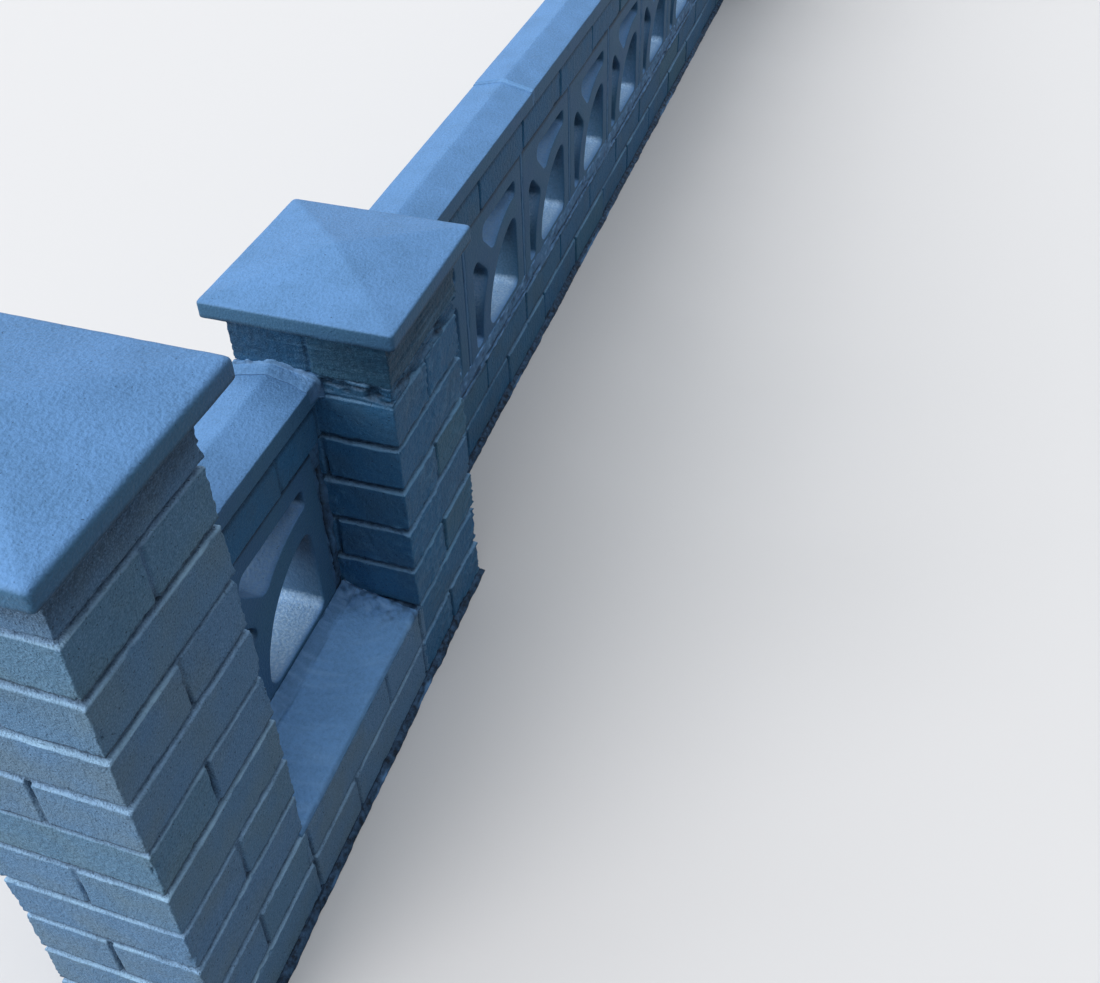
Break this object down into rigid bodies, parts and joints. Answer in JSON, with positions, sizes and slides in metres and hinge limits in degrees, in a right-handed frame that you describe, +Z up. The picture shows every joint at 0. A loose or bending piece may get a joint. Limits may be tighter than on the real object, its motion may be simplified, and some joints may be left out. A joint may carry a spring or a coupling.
{
  "type": "painted brick garden wall with pierced screen blocks",
  "caption": "Low garden wall of painted brick: square piers with shallow pyramid caps, and bays of pierced screen blocks under a brick course and saddleback coping.",
  "frame": {"origin": "middle of the wall's length and thickness, at ground level", "axes": "+X along the wall from the tall near pier to the far pier, -Y the patio side, +Z up"},
  "size_m": [3.772, 0.28, 0.887],
  "materials": {
    "painted_brick": "matt blue-grey masonry paint over brick",
    "painted_concrete": "matt blue-grey masonry paint over cast concrete",
    "painted_mortar": "matt blue-grey masonry paint over mortar"
  },
  "bodies": {
    "root": {"near_pier": "painted_brick", "middle_pier": "painted_brick", "far_pier": "painted_brick", "near_cap": "painted_concrete", "middle_cap": "painted_concrete", "far_cap": "painted_concrete", "short_base": "painted_brick", "long_base": "painted_brick", "short_ledge": "painted_mortar", "long_block_fillet": "painted_mortar", "ground_fillet": "painted_mortar", "short_joints": "painted_mortar", "long_joints": "painted_mortar", "short_block": "painted_concrete", "long_block_1": "painted_concrete", "long_block_2": "painted_concrete", "long_block_3": "painted_concrete", "long_block_4": "painted_concrete", "long_block_5": "painted_concrete", "long_block_6": "painted_concrete", "long_block_7": "painted_concrete", "long_block_8": "painted_concrete", "long_block_9": "painted_concrete", "short_top_course": "painted_brick", "long_top_course": "painted_brick", "short_coping": "painted_concrete", "long_coping_1": "painted_concrete", "long_coping_2": "painted_concrete", "long_coping_3": "painted_concrete", "long_coping_4": "painted_concrete"}
  },
  "joints": []
}
